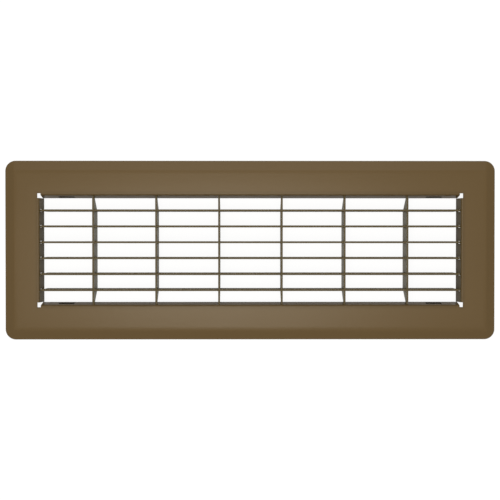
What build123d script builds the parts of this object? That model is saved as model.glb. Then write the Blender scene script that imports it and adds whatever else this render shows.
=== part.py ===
from build123d import *
import os
from math import cos, radians, sin, tan

# Floor return air grille: a stamped sheet-steel frame that drops into a duct opening in the floor and
# holds straight fins crossed by support bars.
# X runs along the fins, Y across them and Z up. The origin is the middle of the grille at floor level,
# the plane that the rim of the frame stands on.

# Stamped frame
face_length = 400.0
face_width = 146.0
face_height = 5.6  # top of the border above the floor
sheet = 0.9
corner_radius = 8.4  # plan radius of the rim at the corners
crown_inset = 26.6  # from the rim in to where the crowned border is level
crown_fall = 4.0  # degrees that the border has turned down by its ridge
shoulder_slope = 24.0  # degrees, from the ridge down to the rim
ridge_inside_radius = 14.0  # fold between the border and the shoulder
rim_inside_radius = 0.4  # fold between the shoulder and the rim
rim_straight = 0.3  # upright edge below the rim's fold
end_border = 30.6  # from the rim in to the throat, the clear opening between the collar walls' lower edges
side_border = 30.4
collar_depth = 11.0  # lower edge of the collar walls below the top of the border
collar_lean = 11.0  # degrees that the collar walls lean in from upright
collar_inside_radius = 0.5  # fold between the border and the collar walls
wall_end_clearance = 0.15  # between an end wall's end and the long wall's lower edge
long_wall_reach = 1.0  # ends of the long walls beyond the throat
notch_reach = 0.4  # corner notches beyond the collar's folds

# Fins and cross bars
fin_count = 6
fin_inset = 10.1  # middle of the outermost fins from the sides of the throat
fin_thickness = 1.5
bar_count = 6
bar_inset = 41.4  # middle of the outermost bars from the ends of the throat
bar_thickness = 1.4
strip_depth = 22.0
strip_drop = 1.0  # tops of the fins and bars below the top of the border
strip_end_clearance = 0.3  # between a strip's end and the throat
lap_clearance = 0.1  # each side of a strip in the notch of the strip that it crosses
lap_end_clearance = 0.3  # between the closed ends of two crossing notches

# Slots in the collar walls
slot_drop = 2.4  # tops of the strips' slots below the top of the border
tab_slot_height = 5.4
tab_clearance = 0.15  # above and below a tab, and on the close side of a fin's tab
tab_reach = 1.2  # tabs beyond the outside of the collar
fin_slot_slack = 0.3  # open side of a fin's slot
bar_slot_slack = 0.15  # each side of a cross bar's slot
damper_slot_length = 12.5
damper_slot_height = 3.4
damper_slot_drop = 5.0  # tops of the damper slots below the top of the border
damper_slot_inset = 19.1  # middle of a damper slot from the end of the throat

# Border: a shallow arc, the ridge fold, the straight shoulder, the rim fold and an upright edge. The widths
# of the arc and of the shoulder are what the folds leave of the crown's inset and of the face's height.
fall = radians(crown_fall)
slope = radians(shoulder_slope)
ridge_radius = ridge_inside_radius + sheet
rim_radius = rim_inside_radius + sheet
run_left = crown_inset - ridge_radius * (sin(slope) - sin(fall)) - rim_radius * (1 - sin(slope))
drop_left = face_height - ridge_radius * (cos(fall) - cos(slope)) - rim_radius * cos(slope) - rim_straight
shoulder_run = (drop_left - run_left * tan(fall / 2)) / (tan(slope) - tan(fall / 2))
crown_inside_radius = (run_left - shoulder_run) / sin(fall) - sheet
level_length = face_length - 2 * crown_inset
level_width = face_width - 2 * crown_inset
core_length = face_length - 2 * corner_radius
core_width = face_width - 2 * corner_radius

# Collar: one fold and a straight wall, from the edge of the border to the throat
throat_length = face_length - 2 * end_border
throat_width = face_width - 2 * side_border
collar_angle = 90 - collar_lean
collar_radius = collar_inside_radius + sheet
wall_drop = collar_depth - collar_radius * (1 - cos(radians(collar_angle)))
wall_length = wall_drop / sin(radians(collar_angle))
collar_run = collar_radius * sin(radians(collar_angle)) + wall_length * cos(radians(collar_angle))
flat_length = throat_length + 2 * collar_run
flat_width = throat_width + 2 * collar_run

# Levels and places of the fins and cross bars
strip_top = face_height - strip_drop
strip_bottom = strip_top - strip_depth
lap_level = strip_top - strip_depth / 2
slot_top = face_height - slot_drop
slot_bottom = slot_top - tab_slot_height
damper_slot_top = face_height - damper_slot_drop
fin_pitch = (throat_width - 2 * fin_inset) / (fin_count - 1)
bar_pitch = (throat_length - 2 * bar_inset) / (bar_count - 1)
fin_places = [fin_pitch * ((fin_count - 1) / 2 - i) for i in range(fin_count)]
bar_places = [bar_pitch * (i - (bar_count - 1) / 2) for i in range(bar_count)]


def folded_section(x, z, folds):
    # Upright section of the sheet: it starts level at (x, z) and turns down at each fold, which has an
    # inside radius, an angle and the straight length that follows it
    faces = []
    for depth in (0, sheet):
        edges = []
        point = Vector(x, z - depth)
        heading = Vector(1, 0)
        for inside_radius, angle, straight in folds:
            fold = JernArc(point, heading, inside_radius + sheet - depth, -angle)
            edges.append(fold)
            point = fold @ 1
            heading = fold % 1
            if straight > 0:
                run = Line(point, point + heading * straight)
                edges.append(run)
                point = run @ 1
        faces.append(edges)
    top, under = faces
    ends = [Line(top[0] @ 0, under[0] @ 0), Line(top[-1] @ 1, under[-1] @ 1)]
    return Plane.XZ * make_face(top + under + ends)


def border_section(x):
    crown = (crown_inside_radius, crown_fall, 0)
    shoulder = (ridge_inside_radius, shoulder_slope - crown_fall, shoulder_run / cos(slope))
    rim = (rim_inside_radius, 90 - shoulder_slope, rim_straight)
    return folded_section(x, face_height, [crown, shoulder, rim])


def border_side(side_level, side_core, half_face, turn):
    # One side of the border, mitred from the level edge's corners out to the middles of the rim's corners
    length = side_core / 2
    half_level = half_face - crown_inset
    right = [(half_level, side_level / 2), (half_face - corner_radius, length), (half_face, length)]
    left = [(x, -y) for x, y in reversed(right)]
    mitre = extrude(make_face(Polyline(*right, *left, close=True)), face_height)
    return Rot(0, 0, turn) * (extrude(border_section(half_level), length, both=True) & mitre)


def border_ring():
    # The four sides, and the outer part of their section swung about the middles of the rim's corners
    outer = Plane.XZ * Pos(corner_radius / 2, face_height / 2) * Rectangle(corner_radius, face_height)
    corner = revolve(border_section(corner_radius - crown_inset) & outer, Axis.Z, 90)
    ring = Part()
    for turn in (0, 180):
        ring += border_side(level_width, core_width, face_length / 2, turn)
    for turn in (90, 270):
        ring += border_side(level_length, core_length, face_width / 2, turn)
    for turn, side_x, side_y in ((0, 1, 1), (90, -1, 1), (180, -1, -1), (270, 1, -1)):
        ring += Pos(side_x * core_length / 2, side_y * core_width / 2) * Rot(0, 0, turn) * corner
    return ring


def level_edge():
    # Level inner edge of the border, out to the crown, with the opening out to the collar's folds
    outline = Rectangle(level_length, level_width) - Rectangle(flat_length, flat_width)
    return Pos(0, 0, face_height - sheet) * extrude(outline, sheet)


def collar_wall(half_flat, half_wall, turn):
    section = folded_section(-half_flat, face_height, [(collar_inside_radius, collar_angle, wall_length)])
    return Rot(0, 0, turn) * extrude(section, half_wall, both=True)


def wall_slot(x, y, size_x, size_y, top, height):
    return Pos(x, y, top - height / 2) * Box(size_x, size_y, height)


def face_frame():
    frame = border_ring() + level_edge()
    half_end_wall = throat_width / 2 - wall_end_clearance
    half_long_wall = throat_length / 2 + long_wall_reach
    # A notch at each corner of the collar, from the ends of its walls out past its folds
    notch_end_x = flat_length / 2 + notch_reach
    notch_end_y = flat_width / 2 + notch_reach
    corners = GridLocations(notch_end_x + half_long_wall, notch_end_y + half_end_wall, 2, 2)
    frame -= corners * Box(notch_end_x - half_long_wall, notch_end_y - half_end_wall, 4 * face_height)
    for turn in (0, 180):
        frame += collar_wall(flat_length / 2, half_end_wall, turn)
    for turn in (90, 270):
        frame += collar_wall(flat_width / 2, half_long_wall, turn)
    end_x = throat_length / 2 + collar_run / 2
    side_y = throat_width / 2 + collar_run / 2
    cut_depth = 2 * collar_run
    # A fin's slot is open on one side of its tab: towards +Y at the -X end, towards -Y at the other
    fin_slot_width = fin_thickness + tab_clearance + fin_slot_slack
    fin_slot_offset = (fin_slot_slack - tab_clearance) / 2
    for y in fin_places:
        frame -= wall_slot(-end_x, y + fin_slot_offset, cut_depth, fin_slot_width, slot_top, tab_slot_height)
        frame -= wall_slot(end_x, y - fin_slot_offset, cut_depth, fin_slot_width, slot_top, tab_slot_height)
    bar_slot_width = bar_thickness + 2 * bar_slot_slack
    damper_x = throat_length / 2 - damper_slot_inset
    for y in (-side_y, side_y):
        for x in bar_places:
            frame -= wall_slot(x, y, bar_slot_width, cut_depth, slot_top, tab_slot_height)
        for x in (-damper_x, damper_x):
            frame -= wall_slot(x, y, damper_slot_length, cut_depth, damper_slot_top, damper_slot_height)
    return frame


def strip_outline(throat_side, low_half):
    # Upright face of a strip: level top, a tab at each end, and a bottom that is full depth out to low_half
    half = throat_side / 2 - strip_end_clearance
    tab_half = throat_side / 2 + collar_run + tab_reach
    tab_top = slot_top - tab_clearance
    tab_bottom = slot_bottom + tab_clearance
    right = [
        (half, strip_top),
        (half, tab_top),
        (tab_half, tab_top),
        (tab_half, tab_bottom),
        (half, tab_bottom),
        (low_half, strip_bottom),
    ]
    left = [(-x, z) for x, z in reversed(right)]
    return make_face(Polyline(*right, *left, close=True))


def notches(places, crossing_thickness, closed_end, open_end):
    width = crossing_thickness + 2 * lap_clearance
    middle = (closed_end + open_end) / 2
    return [Pos(place, middle) * Rectangle(width, abs(open_end - closed_end)) for place in places]


def fin(y):
    outline = strip_outline(throat_length, throat_length / 2 - strip_end_clearance)
    outline -= notches(bar_places, bar_thickness, lap_level + lap_end_clearance / 2, strip_bottom)
    return Pos(0, y) * extrude(Plane.XZ * outline, fin_thickness / 2, both=True)


def cross_bar(x):
    # The bottom edge rises from the inner side of the outermost fins to the tabs
    outline = strip_outline(throat_width, fin_places[0] - fin_thickness / 2)
    outline -= notches(fin_places, fin_thickness, lap_level - lap_end_clearance / 2, strip_top)
    return Pos(x, 0) * Rot(0, 0, 90) * extrude(Plane.XZ * outline, bar_thickness / 2, both=True)


nodes = {"face_frame": face_frame()}
for number, place in enumerate(fin_places, start=1):
    nodes[f"fin_{number}"] = fin(place)
for number, place in enumerate(bar_places, start=1):
    nodes[f"cross_bar_{number}"] = cross_bar(place)

os.makedirs("parts", exist_ok=True)
for name, solid in nodes.items():
    export_step(solid, f"parts/{name}.step")
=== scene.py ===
import bpy
from math import radians
from mathutils import Matrix, Vector


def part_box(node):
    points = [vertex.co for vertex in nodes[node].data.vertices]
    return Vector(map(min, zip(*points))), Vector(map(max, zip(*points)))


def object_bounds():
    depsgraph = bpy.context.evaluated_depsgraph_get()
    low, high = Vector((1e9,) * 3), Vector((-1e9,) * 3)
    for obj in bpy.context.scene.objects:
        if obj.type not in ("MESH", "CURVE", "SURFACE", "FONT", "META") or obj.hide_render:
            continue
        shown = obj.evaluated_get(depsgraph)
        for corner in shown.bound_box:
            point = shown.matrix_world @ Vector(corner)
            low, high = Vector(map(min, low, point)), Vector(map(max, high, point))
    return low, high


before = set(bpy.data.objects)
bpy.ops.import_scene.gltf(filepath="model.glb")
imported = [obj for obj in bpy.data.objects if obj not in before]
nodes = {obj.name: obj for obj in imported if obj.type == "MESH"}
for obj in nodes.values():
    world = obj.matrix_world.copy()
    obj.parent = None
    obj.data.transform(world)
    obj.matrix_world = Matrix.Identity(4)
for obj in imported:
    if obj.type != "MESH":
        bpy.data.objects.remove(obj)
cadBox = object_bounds()
print("frame loaded:", len(nodes), "pieces of sheet steel")


# shader node helpers

def addNode(tree, kind, place, **settings):
    node = tree.nodes.new(kind)
    node.location = place
    for name, value in settings.items():
        setattr(node, name, value)
    return node


def newGroup(name, inputs, outputs):
    group = bpy.data.node_groups.new(name, "ShaderNodeTree")
    for label, kind, value in inputs:
        socket = group.interface.new_socket(label, in_out="INPUT", socket_type=kind)
        socket.default_value = value
    for label, kind in outputs:
        group.interface.new_socket(label, in_out="OUTPUT", socket_type=kind)
    start = addNode(group, "NodeGroupInput", (-900, 0))
    end = addNode(group, "NodeGroupOutput", (700, 0))
    return group, start, end


def placeGroup(tree, group, place, **values):
    node = addNode(tree, "ShaderNodeGroup", place, node_tree=group)
    for label, value in values.items():
        node.inputs[label].default_value = value
    return node


# what all the enamel on the grille has in common

coat = {
    "cloudDetail": 2.0,
    "grainScale": 1400.0,      # per metre
    "grainDetail": 3.0,
    "peelDetail": 1.0,
    "pebbleShare": 0.35,
    "edgeFacing": (0.99, 0.75),     # cosines at which a drawn edge starts, and is full
    # this upright mask also carries painted light and shade on upright faces
    "uprightFacing": (0.93, 0.5),   # the same for the dry spray, from level
}


# baked enamel drifts a little in tone over a hand's breadth, and is fine grained close up

def makeBakedTone():
    group, start, end = newGroup(
        "bakedTone",
        [("Paint", "NodeSocketColor", (0.5, 0.5, 0.5, 1)),
         ("Cloud", "NodeSocketFloat", 20.0),
         ("Drift", "NodeSocketFloat", 0.05),
         ("Grain", "NodeSocketFloat", 0.03)],
        [("Colour", "NodeSocketColor"), ("Cloud", "NodeSocketFloat")])
    link = group.links.new
    coords = addNode(group, "ShaderNodeTexCoord", (-900, 260))
    cloud = addNode(group, "ShaderNodeTexNoise", (-650, 260))
    cloud.inputs["Detail"].default_value = coat["cloudDetail"]
    link(coords.outputs["Object"], cloud.inputs["Vector"])
    link(start.outputs["Cloud"], cloud.inputs["Scale"])
    grain = addNode(group, "ShaderNodeTexNoise", (-650, -240))
    grain.inputs["Scale"].default_value = coat["grainScale"]
    grain.inputs["Detail"].default_value = coat["grainDetail"]
    link(coords.outputs["Object"], grain.inputs["Vector"])

    # value = 1 + drift * (cloud - 0.5) + grain * (speck - 0.5)
    cloudOff = addNode(group, "ShaderNodeMath", (-420, 260), operation="SUBTRACT")
    cloudOff.inputs[1].default_value = 0.5
    link(cloud.outputs["Fac"], cloudOff.inputs[0])
    drift = addNode(group, "ShaderNodeMath", (-230, 260), operation="MULTIPLY_ADD")
    drift.inputs[2].default_value = 1.0
    link(cloudOff.outputs[0], drift.inputs[0])
    link(start.outputs["Drift"], drift.inputs[1])
    grainOff = addNode(group, "ShaderNodeMath", (-420, -240), operation="SUBTRACT")
    grainOff.inputs[1].default_value = 0.5
    link(grain.outputs["Fac"], grainOff.inputs[0])
    speck = addNode(group, "ShaderNodeMath", (-40, 100), operation="MULTIPLY_ADD")
    link(grainOff.outputs[0], speck.inputs[0])
    link(start.outputs["Grain"], speck.inputs[1])
    link(drift.outputs[0], speck.inputs[2])

    tone = addNode(group, "ShaderNodeHueSaturation", (200, 0))
    link(start.outputs["Paint"], tone.inputs["Color"])
    link(speck.outputs[0], tone.inputs["Value"])
    link(tone.outputs["Color"], end.inputs["Colour"])
    link(cloud.outputs["Fac"], end.inputs["Cloud"])
    return group


# the orange peel that sprayed enamel sets with: long soft waves and a finer pebble

def makeOrangePeel():
    group, start, end = newGroup(
        "orangePeel",
        [("Wave", "NodeSocketFloat", 250.0), ("Pebble", "NodeSocketFloat", 900.0)],
        [("Height", "NodeSocketFloat")])
    link = group.links.new
    coords = addNode(group, "ShaderNodeTexCoord", (-900, 260))
    wave = addNode(group, "ShaderNodeTexNoise", (-600, 200))
    pebble = addNode(group, "ShaderNodeTexNoise", (-600, -150))
    for noise, label in ((wave, "Wave"), (pebble, "Pebble")):
        noise.inputs["Detail"].default_value = coat["peelDetail"]
        link(coords.outputs["Object"], noise.inputs["Vector"])
        link(start.outputs[label], noise.inputs["Scale"])
    both = addNode(group, "ShaderNodeMath", (-300, 0), operation="MULTIPLY_ADD")
    both.inputs[1].default_value = coat["pebbleShare"]
    link(pebble.outputs["Fac"], both.inputs[0])
    link(wave.outputs["Fac"], both.inputs[2])
    link(both.outputs[0], end.inputs["Height"])
    return group


# paint draws back from cut edges, so a thin line there is paler

def makeDrawnEdge():
    group, start, end = newGroup(
        "drawnEdge",
        [("Width", "NodeSocketFloat", 0.0003)],
        [("Edge", "NodeSocketFloat")])
    link = group.links.new
    rounded = addNode(group, "ShaderNodeBevel", (-600, 100), samples=4)
    link(start.outputs["Width"], rounded.inputs["Radius"])
    face = addNode(group, "ShaderNodeNewGeometry", (-600, -150))
    facing = addNode(group, "ShaderNodeVectorMath", (-350, 0), operation="DOT_PRODUCT")
    link(rounded.outputs["Normal"], facing.inputs[0])
    link(face.outputs["True Normal"], facing.inputs[1])
    edge = addNode(group, "ShaderNodeMapRange", (-100, 0))
    for label, value in zip(("From Min", "From Max"), coat["edgeFacing"]):
        edge.inputs[label].default_value = value
    link(facing.outputs["Value"], edge.inputs["Value"])
    link(edge.outputs["Result"], end.inputs["Edge"])
    return group


# upright faces catch the spray from the side, so the coat there is dry and dull; the same mask also
# carries painted light and shade on them:
# most of all on those that face along X, and as much as Across says on those that face along Y

def makeDrySprayAndPaintedLight():
    group, start, end = newGroup(
        "drySprayAndPaintedLight",
        [("Across", "NodeSocketFloat", 1.0)],
        [("UprightShare", "NodeSocketFloat")])
    link = group.links.new
    face = addNode(group, "ShaderNodeNewGeometry", (-700, 0))
    parts = addNode(group, "ShaderNodeSeparateXYZ", (-500, 0))
    level = addNode(group, "ShaderNodeMath", (-300, 0), operation="ABSOLUTE")
    upright = addNode(group, "ShaderNodeMapRange", (-100, 0), interpolation_type="SMOOTHSTEP")
    for label, value in zip(("From Min", "From Max"), coat["uprightFacing"]):
        upright.inputs[label].default_value = value
    along = addNode(group, "ShaderNodeMath", (-300, -200), operation="ABSOLUTE")
    either = addNode(group, "ShaderNodeMath", (-100, -250), operation="MAXIMUM")
    uprightMask = addNode(group, "ShaderNodeMath", (200, 0), operation="MULTIPLY")
    link(face.outputs["Normal"], parts.inputs[0])
    link(parts.outputs["Z"], level.inputs[0])
    link(level.outputs[0], upright.inputs["Value"])
    link(parts.outputs["X"], along.inputs[0])
    link(along.outputs[0], either.inputs[0])
    link(start.outputs["Across"], either.inputs[1])
    link(upright.outputs["Result"], uprightMask.inputs[0])
    link(either.outputs[0], uprightMask.inputs[1])
    link(uprightMask.outputs[0], end.inputs["UprightShare"])
    return group


bakedTone = makeBakedTone()
orangePeel = makeOrangePeel()
drawnEdge = makeDrawnEdge()
drySprayAndPaintedLight = makeDrySprayAndPaintedLight()
print("paint groups built")


# the frame is the same in its four quarters, so its masks are made in one of them

def oneQuarter(tree, coords, row):
    quarter = addNode(tree, "ShaderNodeVectorMath", (-900, row), operation="ABSOLUTE")
    tree.links.new(coords.outputs["Object"], quarter.inputs[0])
    return quarter


# painted shade: the border darkens a little just before its fold round the opening, where the real
# edge rolls over and catches less light

def paintedFoldShade(tree, fold, colour):
    link = tree.links.new
    coords = addNode(tree, "ShaderNodeTexCoord", (-1100, 700))
    quarter = oneQuarter(tree, coords, 700)
    fromFold = addNode(tree, "ShaderNodeVectorMath", (-720, 700), operation="SUBTRACT")
    fromFold.inputs[1].default_value = (fold["halfLength"], fold["halfWidth"], 0)
    sides = addNode(tree, "ShaderNodeSeparateXYZ", (-540, 700))
    away = addNode(tree, "ShaderNodeMath", (-360, 700), operation="MAXIMUM")
    fade = addNode(tree, "ShaderNodeMapRange", (-180, 760), interpolation_type="SMOOTHSTEP")
    fade.inputs["From Min"].default_value = fold["reach"]
    fade.inputs["From Max"].default_value = 0.0
    onBorder = addNode(tree, "ShaderNodeMath", (-180, 560), operation="GREATER_THAN")
    onBorder.inputs[1].default_value = -fold["bend"]
    share = addNode(tree, "ShaderNodeMath", (0, 700), operation="MULTIPLY")
    paintedLightMix = addNode(tree, "ShaderNodeMix", (150, 600), data_type="RGBA", blend_type="MULTIPLY")
    paintedLightMix.inputs["B"].default_value = fold["tint"]
    link(quarter.outputs[0], fromFold.inputs[0])
    link(fromFold.outputs[0], sides.inputs[0])
    link(sides.outputs["X"], away.inputs[0])
    link(sides.outputs["Y"], away.inputs[1])
    link(away.outputs[0], fade.inputs["Value"])
    link(away.outputs[0], onBorder.inputs[0])
    link(fade.outputs["Result"], share.inputs[0])
    link(onBorder.outputs[0], share.inputs[1])
    link(share.outputs[0], paintedLightMix.inputs["Factor"])
    link(colour, paintedLightMix.inputs["A"])
    return paintedLightMix.outputs["Result"]


# painted shade: the damper slots' cut faces are painted near black and dull, for the shade inside the
# slots

def darkenSlots(tree, slot, colour, roughness):
    link = tree.links.new
    coords = addNode(tree, "ShaderNodeTexCoord", (-1100, -450))
    quarter = oneQuarter(tree, coords, -450)
    plan = addNode(tree, "ShaderNodeSeparateXYZ", (-720, -450))
    height = addNode(tree, "ShaderNodeSeparateXYZ", (-720, -800))
    link(quarter.outputs[0], plan.inputs[0])
    link(coords.outputs["Object"], height.inputs[0])
    near = {}
    for row, (axis, source) in enumerate((("X", plan), ("Y", plan), ("Z", height))):
        middle, half = slot[axis]
        near[axis] = addNode(tree, "ShaderNodeMath", (-520, -450 - 180 * row), operation="COMPARE")
        near[axis].inputs[1].default_value = middle
        near[axis].inputs[2].default_value = half
        link(source.outputs[axis], near[axis].inputs[0])
    inPlan = addNode(tree, "ShaderNodeMath", (-340, -540), operation="MULTIPLY")
    link(near["X"].outputs[0], inPlan.inputs[0])
    link(near["Y"].outputs[0], inPlan.inputs[1])
    inside = addNode(tree, "ShaderNodeMath", (-160, -630), operation="MULTIPLY")
    link(inPlan.outputs[0], inside.inputs[0])
    link(near["Z"].outputs[0], inside.inputs[1])
    slotShade = addNode(tree, "ShaderNodeMix", (150, 400), data_type="RGBA")
    slotShade.inputs["B"].default_value = slot["colour"]
    link(inside.outputs[0], slotShade.inputs["Factor"])
    link(colour, slotShade.inputs["A"])
    rough = addNode(tree, "ShaderNodeMix", (150, -400), data_type="FLOAT")
    rough.inputs["B"].default_value = slot["roughness"]
    link(inside.outputs[0], rough.inputs["Factor"])
    link(roughness, rough.inputs["A"])
    return slotShade.outputs["Result"], rough.outputs["Result"]


def makeEnamel(name, look):
    material = bpy.data.materials.new(name)
    material.use_nodes = True
    tree = material.node_tree
    tree.nodes.clear()
    link = tree.links.new
    output = addNode(tree, "ShaderNodeOutputMaterial", (600, 0))
    paint = addNode(tree, "ShaderNodeBsdfPrincipled", (300, 0))
    paint.inputs["Specular IOR Level"].default_value = look["specular"]
    link(paint.outputs["BSDF"], output.inputs["Surface"])

    tone = placeGroup(tree, bakedTone, (-500, 250), Paint=look["colour"], Cloud=look["cloud"],
                      Drift=look["drift"], Grain=look["grain"])
    edge = placeGroup(tree, drawnEdge, (-500, 0), Width=look["edgeWidth"])
    paler = addNode(tree, "ShaderNodeMix", (-200, 250), data_type="RGBA", blend_type="MIX")
    paler.inputs["B"].default_value = look["edgeColour"]
    edgeShare = addNode(tree, "ShaderNodeMath", (-350, 60), operation="MULTIPLY")
    edgeShare.inputs[1].default_value = look["edgeShare"]
    link(edge.outputs["Edge"], edgeShare.inputs[0])
    link(edgeShare.outputs[0], paler.inputs["Factor"])
    uprightMask = placeGroup(tree, drySprayAndPaintedLight, (-500, -80), Across=look["uprightAcross"])
    # painted light and shade: the upright-face tint darkens the frame's collar walls and fold and
    # lightens the strips' sides, for how light falls on them
    paintedLightMix = addNode(tree, "ShaderNodeMix", (0, 250), data_type="RGBA", blend_type="MULTIPLY")
    paintedLightMix.inputs["B"].default_value = look["paintedUprightLight"]
    link(tone.outputs["Colour"], paler.inputs["A"])
    link(uprightMask.outputs["UprightShare"], paintedLightMix.inputs["Factor"])
    link(paler.outputs["Result"], paintedLightMix.inputs["A"])

    gloss = addNode(tree, "ShaderNodeMapRange", (-200, -50))
    gloss.inputs["To Min"].default_value = look["roughness"] - look["glossDrift"]
    gloss.inputs["To Max"].default_value = look["roughness"] + look["glossDrift"]
    link(tone.outputs["Cloud"], gloss.inputs["Value"])
    dull = addNode(tree, "ShaderNodeMix", (0, -50), data_type="FLOAT")
    dull.inputs["B"].default_value = look["dryRoughness"]
    link(uprightMask.outputs["UprightShare"], dull.inputs["Factor"])
    link(gloss.outputs["Result"], dull.inputs["A"])
    colour = paintedLightMix.outputs["Result"]
    roughness = dull.outputs["Result"]
    # painted shade: a darker band before the collar fold, and near black in the damper slots
    if "fold" in look:
        colour = paintedFoldShade(tree, look["fold"], colour)
    if "slot" in look:
        colour, roughness = darkenSlots(tree, look["slot"], colour, roughness)
    link(colour, paint.inputs["Base Color"])
    link(roughness, paint.inputs["Roughness"])

    peel = placeGroup(tree, orangePeel, (-500, -250), Wave=look["peelWave"], Pebble=look["peelPebble"])
    bump = addNode(tree, "ShaderNodeBump", (0, -250))
    bump.inputs["Strength"].default_value = look["peelStrength"]
    bump.inputs["Distance"].default_value = look["peelDepth"]
    link(peel.outputs["Height"], bump.inputs["Height"])
    link(bump.outputs["Normal"], paint.inputs["Normal"])
    return material


def paintNode(node, material):
    node.data.materials.clear()
    node.data.materials.append(material)


# softens the cut edges as paint does; the CAD mesh under it stays as it is

edgeRound = {
    "join": 0.000005,          # faces of the mesh that meet this closely are one
    "steps": 2,
    "fromAngle": 40.0,         # degrees
    "faceWeight": 80,
}


def softenEdges(node, width):
    join = node.modifiers.new("joinFaces", "WELD")
    join.merge_threshold = edgeRound["join"]
    soft = node.modifiers.new("softEdges", "BEVEL")
    soft.width = width
    soft.segments = edgeRound["steps"]
    soft.limit_method = "ANGLE"
    soft.angle_limit = radians(edgeRound["fromAngle"])
    soft.use_clamp_overlap = True
    normals = node.modifiers.new("cleanShading", "WEIGHTED_NORMAL")
    normals.keep_sharp = False
    normals.weight = edgeRound["faceWeight"]


faceFrame = {
    "colour": (0.142, 0.089, 0.032, 1),
    "cloud": 14.0,             # per metre
    "drift": 0.06,
    "grain": 0.05,
    "edgeColour": (0.20, 0.13, 0.06, 1),
    "edgeShare": 0.35,
    "edgeWidth": 0.0004,
    "roughness": 0.36,
    "glossDrift": 0.03,
    "dryRoughness": 0.52,
    # painted shade: the collar walls and the fold darker and greener than the border
    "paintedUprightLight": (0.60, 0.64, 0.44, 1),
    "uprightAcross": 0.42,
    "specular": 0.3,
    "softEdge": 0.00008,       # rounding of the cut edges
    "peelWave": 260.0,
    "peelPebble": 900.0,
    "peelStrength": 0.6,
    "peelDepth": 0.00006,
}
tabReach = 0.0012              # tabs of the strips beyond the collar's folds
# painted shade along the collar's fold
collarFold = {
    "halfLength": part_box("fin_1")[1].x - tabReach,
    "halfWidth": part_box("cross_bar_1")[1].y - tabReach,
    "reach": 0.0032,
    "bend": 0.0012,
    "tint": (0.84, 0.84, 0.82, 1),
}
# painted shade inside the damper slots
damperSlot = {
    "X": (0.1503, 0.0065),     # middle and half size in metres
    "Y": (0.0445, 0.0045),
    "Z": (-0.0011, 0.0020),
    "colour": (0.014, 0.012, 0.009, 1),
    "roughness": 0.9,
}
frameEnamel = makeEnamel("frameEnamel", dict(faceFrame, fold=collarFold, slot=damperSlot))
paintNode(nodes["face_frame"], frameEnamel)
softenEdges(nodes["face_frame"], faceFrame["softEdge"])
print("face frame painted")

# painted light: the strips' upright-face tints make their sides lighter, the cross bars' most of all,
# for light from the white surroundings
fins = dict(faceFrame, colour=(0.108, 0.082, 0.040, 1), cloud=22.0, roughness=0.5, dryRoughness=0.6,
            paintedUprightLight=(1.25, 1.2, 0.85, 1), uprightAcross=1.0, edgeShare=0.1, specular=0.2, softEdge=0.00016)
finEnamel = makeEnamel("finEnamel", fins)
bars = dict(fins, cloud=26.0, dryRoughness=0.5, paintedUprightLight=(1.5, 1.58, 1.0, 1))
barEnamel = makeEnamel("barEnamel", bars)
for name, node in nodes.items():
    if name.startswith("fin_"):
        paintNode(node, finEnamel)
        softenEdges(node, fins["softEdge"])
    elif name.startswith("cross_bar_"):
        paintNode(node, barEnamel)
        softenEdges(node, bars["softEdge"])
print("fins and cross bars painted")


# pale floor under the strips, and the studio

studio = {
    "floorSize": 60.0,
    "floorBounce": 0.35,       # what the floor sends back to the object
    "floorShade": 0.15,        # share of the floor's own shading that shows, with the shadow
    "floorWhite": 0.93,
    "wall": (0.35, 0.35, 0.35, 1),
    "ceiling": (0.50, 0.50, 0.50, 1),
    "wallTop": 0.25,           # sines of elevation
    "ceilingStart": 0.55,
}
softbox = {
    "place": (-0.04, -0.085, 0.92),
    "turn": (0.0, 0.0, 0.0),   # degrees, 0 is straight down
    "size": (0.42, 0.44),
    "power": 3.3,
    "colour": (1.0, 0.94, 0.80),
}
backPanel = {
    "place": (0.0, 0.90, 0.80),
    "turn": (-48.4, 0.0, 0.0),
    "size": (0.80, 0.50),
    "power": 2.1,
    "colour": (1.0, 0.97, 0.92),
}


def makeFloor():
    half = studio["floorSize"] / 2
    level = cadBox[0].z
    mesh = bpy.data.meshes.new("floor")
    corners = [(-half, -half, level), (half, -half, level), (half, half, level), (-half, half, level)]
    mesh.from_pydata(corners, [], [(0, 1, 2, 3)])
    floor = bpy.data.objects.new("floor", mesh)
    bpy.context.scene.collection.objects.link(floor)
    material = bpy.data.materials.new("paleFloor")
    material.use_nodes = True
    tree = material.node_tree
    tree.nodes.clear()
    link = tree.links.new
    output = addNode(tree, "ShaderNodeOutputMaterial", (600, 0))
    seen = addNode(tree, "ShaderNodeMixShader", (400, 0))
    path = addNode(tree, "ShaderNodeLightPath", (-600, 300))
    either = addNode(tree, "ShaderNodeMath", (-300, 300), operation="MAXIMUM")
    anyRay = addNode(tree, "ShaderNodeMath", (-100, 300), operation="MAXIMUM")
    link(path.outputs["Is Camera Ray"], either.inputs[0])
    link(path.outputs["Is Glossy Ray"], either.inputs[1])
    link(either.outputs[0], anyRay.inputs[0])
    link(path.outputs["Is Transmission Ray"], anyRay.inputs[1])
    bounce = addNode(tree, "ShaderNodeBsdfDiffuse", (-100, 100))
    bounce.inputs["Color"].default_value = (studio["floorBounce"],) * 3 + (1,)
    shade = addNode(tree, "ShaderNodeBsdfDiffuse", (-100, -100))
    shade.inputs["Color"].default_value = (studio["floorShade"],) * 3 + (1,)
    white = addNode(tree, "ShaderNodeEmission", (-100, -300))
    white.inputs["Strength"].default_value = studio["floorWhite"]
    shown = addNode(tree, "ShaderNodeAddShader", (150, -150))
    link(shade.outputs[0], shown.inputs[0])
    link(white.outputs[0], shown.inputs[1])
    link(anyRay.outputs[0], seen.inputs[0])
    link(bounce.outputs[0], seen.inputs[1])
    link(shown.outputs[0], seen.inputs[2])
    link(seen.outputs[0], output.inputs["Surface"])
    mesh.materials.append(material)


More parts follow.
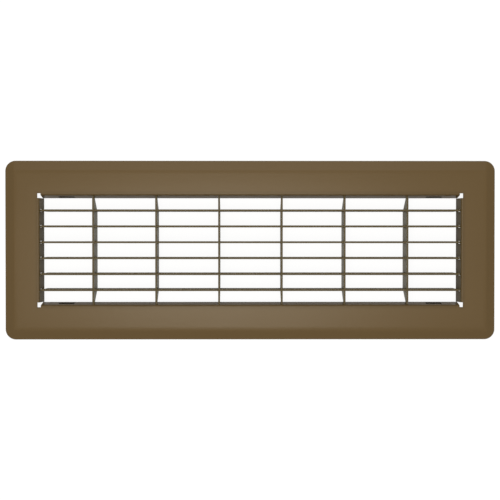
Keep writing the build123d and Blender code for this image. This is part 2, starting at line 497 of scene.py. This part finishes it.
def makeWorld():
    world = bpy.data.worlds.new("studio")
    bpy.context.scene.world = world
    world.use_nodes = True
    tree = world.node_tree
    tree.nodes.clear()
    link = tree.links.new
    output = addNode(tree, "ShaderNodeOutputWorld", (600, 0))
    light = addNode(tree, "ShaderNodeBackground", (400, 0))
    coords = addNode(tree, "ShaderNodeTexCoord", (-600, 0))
    height = addNode(tree, "ShaderNodeSeparateXYZ", (-400, 0))
    rise = addNode(tree, "ShaderNodeMapRange", (-200, 0), interpolation_type="SMOOTHSTEP")
    rise.inputs["From Min"].default_value = studio["wallTop"]
    rise.inputs["From Max"].default_value = studio["ceilingStart"]
    room = addNode(tree, "ShaderNodeMix", (100, 0), data_type="RGBA")
    room.inputs["A"].default_value = studio["wall"]
    room.inputs["B"].default_value = studio["ceiling"]
    link(coords.outputs["Generated"], height.inputs[0])
    link(height.outputs["Z"], rise.inputs["Value"])
    link(rise.outputs["Result"], room.inputs["Factor"])
    link(room.outputs["Result"], light.inputs["Color"])
    link(light.outputs[0], output.inputs["Surface"])


def makePanel(name, panel):
    lamp = bpy.data.lights.new(name, "AREA")
    lamp.shape = "RECTANGLE"
    lamp.size, lamp.size_y = panel["size"]
    lamp.energy = panel["power"]
    lamp.color = panel["colour"]
    box = bpy.data.objects.new(name, lamp)
    box.location = panel["place"]
    box.rotation_euler = [radians(angle) for angle in panel["turn"]]
    bpy.context.scene.collection.objects.link(box)


makeFloor()
makeWorld()
makePanel("softbox", softbox)
makePanel("backPanel", backPanel)
print("floor and studio light set")


# overhead camera, a little off the middle, as the photo was taken

camera = {
    "place": (-0.0065, 0.0105, 0.855),
    "aim": (-0.00035, 0.00015, 0.0),
    "lens": 75.24,
    "sensor": 36.0,
    "clip": (0.01, 50.0),
}


def makeCamera():
    data = bpy.data.cameras.new("overhead")
    data.lens = camera["lens"]
    data.sensor_width = camera["sensor"]
    data.clip_start, data.clip_end = camera["clip"]
    eye = bpy.data.objects.new("overhead", data)
    place = Vector(camera["place"])
    back = (place - Vector(camera["aim"])).normalized()
    right = Vector((0, 1, 0)).cross(back).normalized()
    up = back.cross(right)
    turn = Matrix((right, up, back)).transposed()
    eye.matrix_world = Matrix.Translation(place) @ turn.to_4x4()
    bpy.context.scene.collection.objects.link(eye)
    bpy.context.scene.camera = eye


makeCamera()
bpy.context.scene.view_settings.view_transform = "Standard"
print("camera placed")
